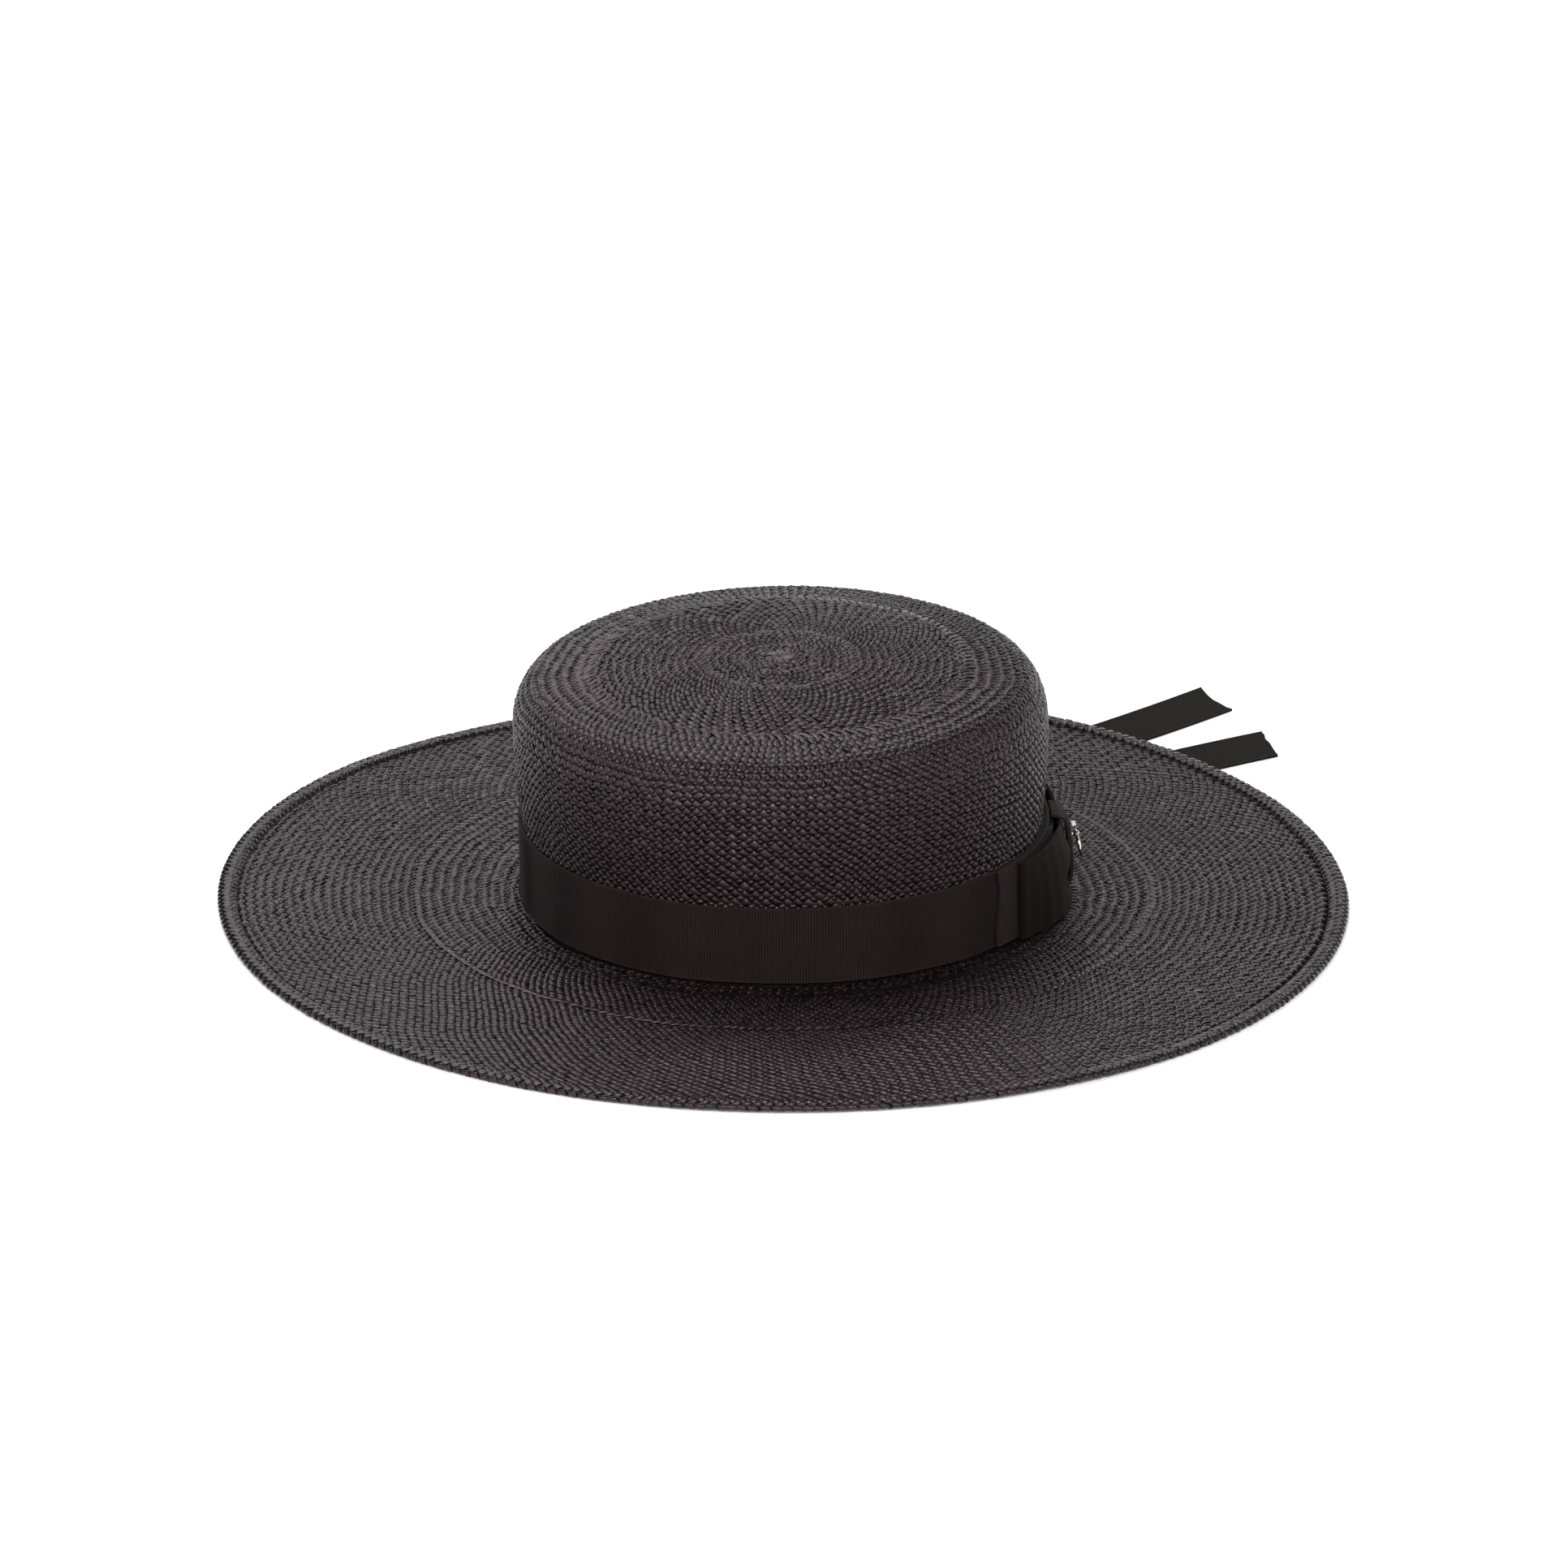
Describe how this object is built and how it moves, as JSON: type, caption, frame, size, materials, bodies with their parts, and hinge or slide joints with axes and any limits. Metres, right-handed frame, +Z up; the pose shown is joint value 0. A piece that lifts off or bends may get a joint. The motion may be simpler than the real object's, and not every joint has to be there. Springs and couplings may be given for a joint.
{
  "type": "straw hat",
  "caption": "Wide-brimmed woven straw hat with a flat-topped crown, ribbon band, tailored bow, small metal brooch and loose ribbon ties",
  "frame": {"origin": "middle of the whole object's outline seen from above, on the surface that the hat rests on", "axes": "+Z up through the crown, -Y towards the hat's front, +X towards the side that carries the bow"},
  "size_m": [0.3984, 0.419, 0.0895],
  "materials": {
    "dyed_straw": "dyed flat straw strands, satin",
    "band_grosgrain": "matte ribbed grosgrain",
    "bow_layer_grosgrain": "matte ribbed grosgrain",
    "bow_loop_ribbon": "matte ribbed grosgrain",
    "knot_ribbon": "matte ribbed grosgrain",
    "polished_metal": "polished",
    "tie_grosgrain": "matte ribbed grosgrain"
  },
  "bodies": {
    "root": {"woven_body": "dyed_straw", "hat_band": "band_grosgrain", "bow_under_layer": "bow_layer_grosgrain", "bow_front_loop": "bow_loop_ribbon", "bow_rear_loop": "bow_loop_ribbon", "bow_knot": "knot_ribbon", "brooch": "polished_metal", "ribbon_tie_rear": "tie_grosgrain", "ribbon_tie_side": "tie_grosgrain"}
  },
  "joints": []
}
